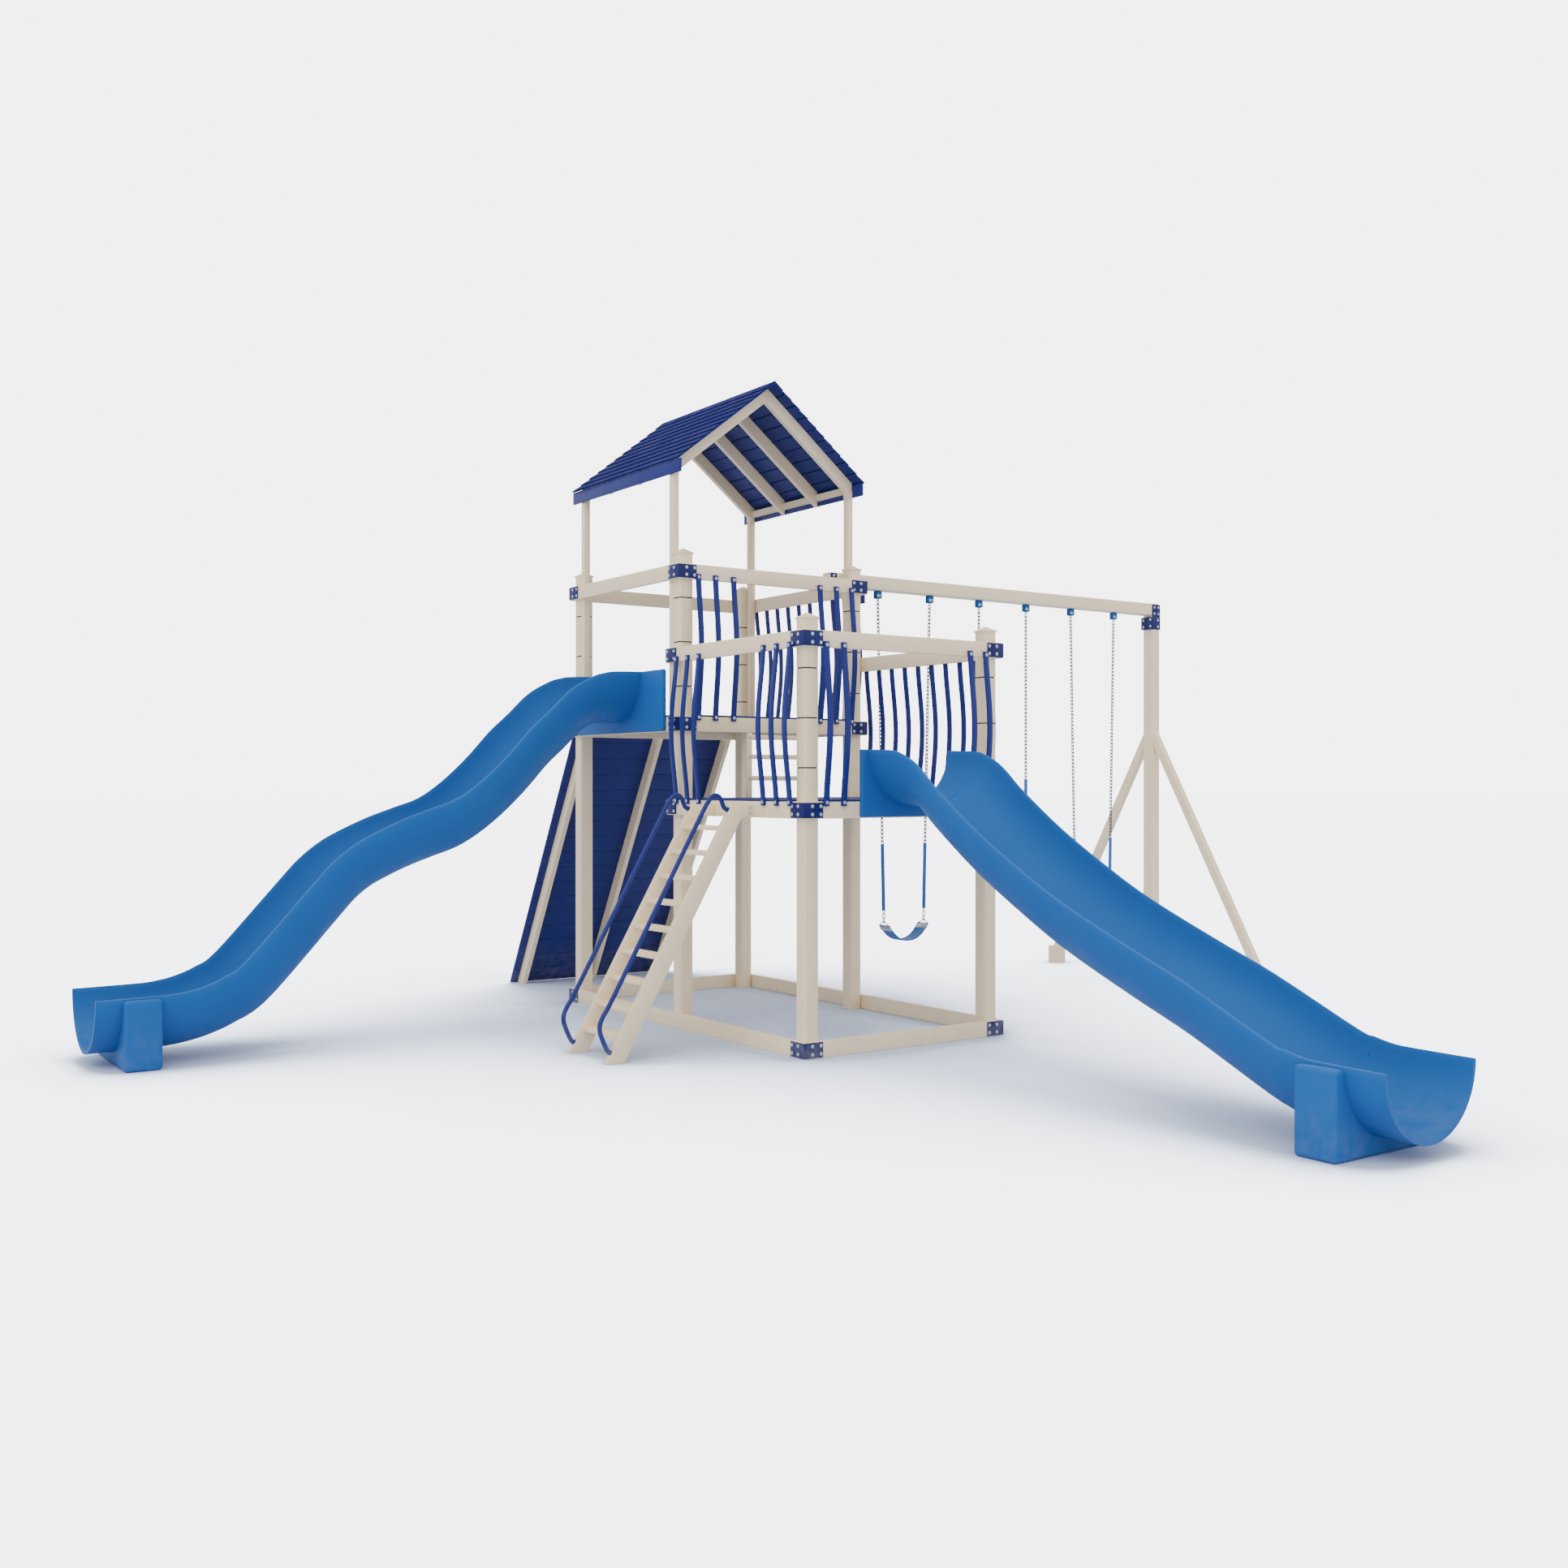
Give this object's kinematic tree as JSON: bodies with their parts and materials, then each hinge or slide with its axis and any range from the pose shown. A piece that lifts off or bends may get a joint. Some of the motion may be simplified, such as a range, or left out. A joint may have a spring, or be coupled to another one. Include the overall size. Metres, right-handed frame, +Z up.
{
  "type": "playset",
  "caption": "Backyard vinyl playset with a low and a high tower, a gable roof, scoop and wave slides, a ladder, a climbing wall and a beam of hanging swings",
  "frame": {"origin": "On the ground at the centre of the middle front post's foot", "axes": "X along the tower fronts toward the scoop slide, Y back along the swing beam, Z up"},
  "size_m": [8.305, 8.95, 4.737],
  "materials": {
    "cream_vinyl": "satin cream vinyl sleeve over timber",
    "navy_board": "navy plastic lumber and shingles, low sheen",
    "slide_blue": "rotomoulded mid-blue plastic with a soft gloss",
    "chain_steel": "galvanised chain in a blue hand sleeve",
    "belt_rubber": "moulded blue belt with a fine grain"
  },
  "bodies": {
    "playset": {"climbing_wall_boards": "navy_board", "climbing_wall_stringer_back": "cream_vinyl", "climbing_wall_stringer_front": "cream_vinyl", "climbing_wall_stringer_middle": "cream_vinyl", "ground_beam_back": "cream_vinyl", "ground_beam_front": "cream_vinyl", "ground_beam_left": "cream_vinyl", "ground_beam_right": "cream_vinyl", "high_deck_floor": "navy_board", "high_railing_back": "cream_vinyl", "high_railing_right": "cream_vinyl", "high_rim_front": "cream_vinyl", "high_rim_left": "cream_vinyl", "high_top_rail_front": "cream_vinyl", "high_top_rail_left": "cream_vinyl", "ladder": "cream_vinyl", "ladder_handrail_left": "navy_board", "ladder_handrail_right": "navy_board", "low_deck_floor": "navy_board", "low_railing_back": "cream_vinyl", "low_railing_front": "cream_vinyl", "low_railing_right": "cream_vinyl", "post_back_left": "cream_vinyl", "post_back_middle": "cream_vinyl", "post_back_right": "cream_vinyl", "post_front_left": "cream_vinyl", "post_front_middle": "cream_vinyl", "post_front_right": "cream_vinyl", "roof_fascia_back": "navy_board", "roof_fascia_front": "navy_board", "roof_frame": "cream_vinyl", "roof_post_back_left": "cream_vinyl", "roof_post_back_middle": "cream_vinyl", "roof_post_front_left": "cream_vinyl", "roof_post_front_middle": "cream_vinyl", "roof_slope_back": "navy_board", "roof_slope_front": "navy_board", "scoop_slide": "slide_blue", "step_ladder": "cream_vinyl", "swing_beam": "cream_vinyl", "swing_brace_left": "cream_vinyl", "swing_brace_right": "cream_vinyl", "swing_end_post": "cream_vinyl", "swing_hanger_1": "slide_blue", "swing_hanger_2": "slide_blue", "swing_hanger_3": "slide_blue", "swing_hanger_4": "slide_blue", "swing_hanger_5": "slide_blue", "swing_hanger_6": "slide_blue", "wave_slide": "slide_blue"},
    "near_swing": {"near_swing_chain_inner": "chain_steel", "near_swing_chain_outer": "chain_steel", "near_swing_seat": "belt_rubber"},
    "middle_swing": {"middle_swing_bar": "slide_blue", "middle_swing_chain_inner": "chain_steel", "middle_swing_chain_outer": "chain_steel"},
    "far_swing": {"far_swing_chain_inner": "chain_steel", "far_swing_chain_outer": "chain_steel", "far_swing_seat": "belt_rubber"}
  },
  "joints": [
    {"name": "near_swing_hinge", "type": "hinge", "parent": "playset", "child": "near_swing", "pos_m": [-0.107, 2.1365, 3.195], "axis": [0, 1, 0], "range_deg": [-60, 60]},
    {"name": "middle_swing_hinge", "type": "hinge", "parent": "playset", "child": "middle_swing", "pos_m": [-0.107, 3.2105, 3.195], "axis": [0, 1, 0], "range_deg": [-60, 60]},
    {"name": "far_swing_hinge", "type": "hinge", "parent": "playset", "child": "far_swing", "pos_m": [-0.107, 4.2845, 3.195], "axis": [0, 1, 0], "range_deg": [-60, 60]}
  ]
}
